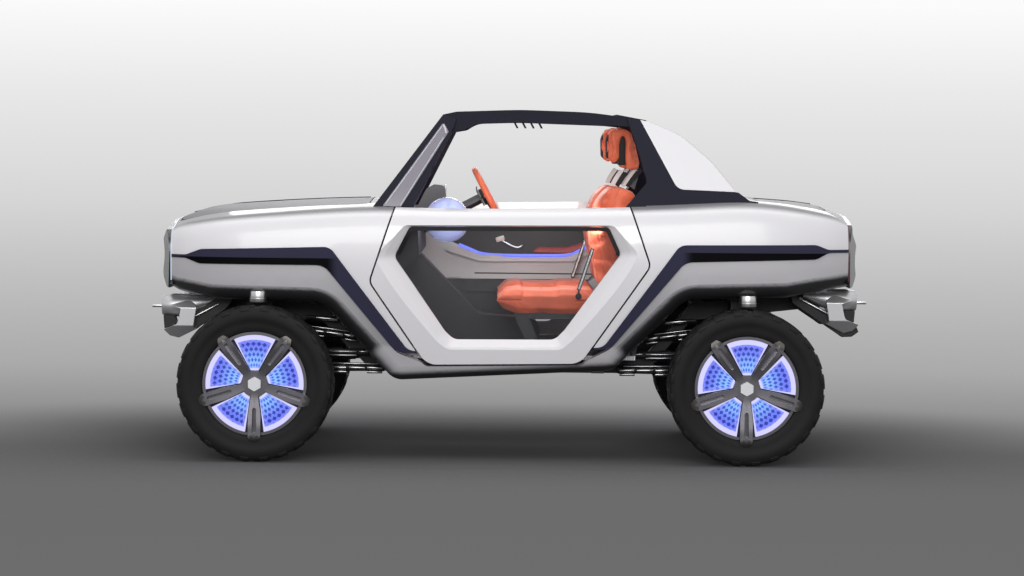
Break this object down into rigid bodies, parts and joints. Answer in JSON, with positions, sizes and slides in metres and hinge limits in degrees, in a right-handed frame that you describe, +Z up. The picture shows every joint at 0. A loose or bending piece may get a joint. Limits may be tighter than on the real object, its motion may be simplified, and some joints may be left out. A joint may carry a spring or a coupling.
{
  "type": "dune buggy",
  "caption": "Open-sided two-seat electric dune buggy with hexagonal doors, high arched wings, exposed wheels with lit spokes and an open roof frame.",
  "frame": {"origin": "on the ground under the middle of the overall length and width", "axes": "+X forward, +Y to the car's left, +Z up"},
  "size_m": [3.42, 1.645, 1.6629],
  "materials": {
    "pearl_white": "gloss pearl",
    "silver_grey": "satin, shading from light to dark under the sill",
    "navy_trim": "satin, near black blue",
    "blade_grey": "satin",
    "face_black": "gloss",
    "front_light": "lit, cold white",
    "rear_light": "lit, red",
    "bumper_silver": "satin silver",
    "tinted_glass": "clear, lightly tinted",
    "clear_glass": "clear",
    "floor_metal": "textured plate",
    "cabin_grey": "matte",
    "cabin_black": "matte",
    "orb_blue": "clear, lit from inside",
    "orange_leather": "soft, stitched",
    "seat_frame_metal": "brushed",
    "wheel_orange": "smooth",
    "chassis_steel": "satin black",
    "link_metal": "polished",
    "battery_case": "matte",
    "tyre": "matte",
    "rim_metal": "dark satin",
    "wheel_glow": "lit, blue with a white edge"
  },
  "bodies": {
    "chassis": {"ladder_frame": "chassis_steel", "cross_members": "chassis_steel", "floor_pan": "floor_metal", "power_pack": "battery_case", "nose_shell": "pearl_white", "tail_shell": "pearl_white", "side_rails": "silver_grey", "side_trims": "navy_trim", "front_face": "face_black", "front_lamps": "front_light", "rear_face": "face_black", "rear_lamps": "rear_light", "front_bumper": "bumper_silver", "rear_bumper": "bumper_silver", "roof_frame": "navy_trim", "pillar_blades": "blade_grey", "quarter_panels": "pearl_white", "windscreen": "clear_glass", "rear_window": "clear_glass", "rear_bulkhead": "cabin_black", "dashboard": "cabin_black", "orb_display": "orb_blue", "seat_cushions": "orange_leather", "seat_backs": "orange_leather", "headrests": "orange_leather", "seat_frames": "seat_frame_metal", "front_suspension": "link_metal", "rear_suspension": "link_metal"},
    "bonnet": {"bonnet": "pearl_white"},
    "deck_lid": {"deck_lid": "pearl_white"},
    "left_door": {"door_left": "pearl_white", "door_glass_left": "tinted_glass"},
    "right_door": {"door_right": "pearl_white", "door_glass_right": "tinted_glass", "door_lining_right": "cabin_grey"},
    "steering_wheel": {"steering_wheel": "wheel_orange"},
    "left_knuckle": {"knuckle_left": "chassis_steel"},
    "right_knuckle": {"knuckle_right": "chassis_steel"},
    "front_left_wheel": {"tyre_front_left": "tyre", "rim_front_left": "rim_metal", "wheel_light_front_left": "wheel_glow"},
    "front_right_wheel": {"tyre_front_right": "tyre", "rim_front_right": "rim_metal", "wheel_light_front_right": "wheel_glow"},
    "rear_left_wheel": {"tyre_rear_left": "tyre", "rim_rear_left": "rim_metal", "wheel_light_rear_left": "wheel_glow"},
    "rear_right_wheel": {"tyre_rear_right": "tyre", "rim_rear_right": "rim_metal", "wheel_light_rear_right": "wheel_glow"}
  },
  "joints": [
    {"name": "bonnet_hinge", "type": "hinge", "parent": "chassis", "child": "bonnet", "pos_m": [0.669, 0, 1.233], "axis": [0, -1, 0], "range_deg": [0, 50]},
    {"name": "deck_hinge", "type": "hinge", "parent": "chassis", "child": "deck_lid", "pos_m": [-1.187, 0, 1.243], "axis": [0, 1, 0], "range_deg": [0, 45]},
    {"name": "door_left_hinge", "type": "hinge", "parent": "chassis", "child": "left_door", "pos_m": [0.668, 0.764, 0.85], "axis": [0, 0, -1], "range_deg": [0, 65]},
    {"name": "door_right_hinge", "type": "hinge", "parent": "chassis", "child": "right_door", "pos_m": [0.668, -0.764, 0.85], "axis": [0, 0, 1], "range_deg": [0, 65]},
    {"name": "steer_left", "type": "hinge", "parent": "chassis", "child": "left_knuckle", "pos_m": [1.19, 0.6, 0.368], "axis": [0, 0, 1], "range_deg": [-30, 30]},
    {"name": "steer_right", "type": "hinge", "parent": "chassis", "child": "right_knuckle", "pos_m": [1.19, -0.6, 0.368], "axis": [0, 0, 1], "range_deg": [-30, 30]},
    {"name": "steering_wheel_turn", "type": "hinge", "parent": "chassis", "child": "steering_wheel", "pos_m": [0.114, -0.36, 1.242], "axis": [-0.8829, 0, 0.4695], "range_deg": [-360, 360]},
    {"name": "wheel_spin_front_left", "type": "hinge", "parent": "left_knuckle", "child": "front_left_wheel", "pos_m": [1.19, 0.715, 0.368], "axis": [0, 1, 0], "continuous": true},
    {"name": "wheel_spin_front_right", "type": "hinge", "parent": "right_knuckle", "child": "front_right_wheel", "pos_m": [1.19, -0.715, 0.368], "axis": [0, 1, 0], "continuous": true},
    {"name": "wheel_spin_rear_left", "type": "hinge", "parent": "chassis", "child": "rear_left_wheel", "pos_m": [-1.115, 0.715, 0.368], "axis": [0, 1, 0], "continuous": true},
    {"name": "wheel_spin_rear_right", "type": "hinge", "parent": "chassis", "child": "rear_right_wheel", "pos_m": [-1.115, -0.715, 0.368], "axis": [0, 1, 0], "continuous": true}
  ],
  "couplings": [
    {"joint": "steer_right", "follows": "steer_left", "ratio": 1},
    {"joint": "steering_wheel_turn", "follows": "steer_left", "ratio": 12}
  ]
}
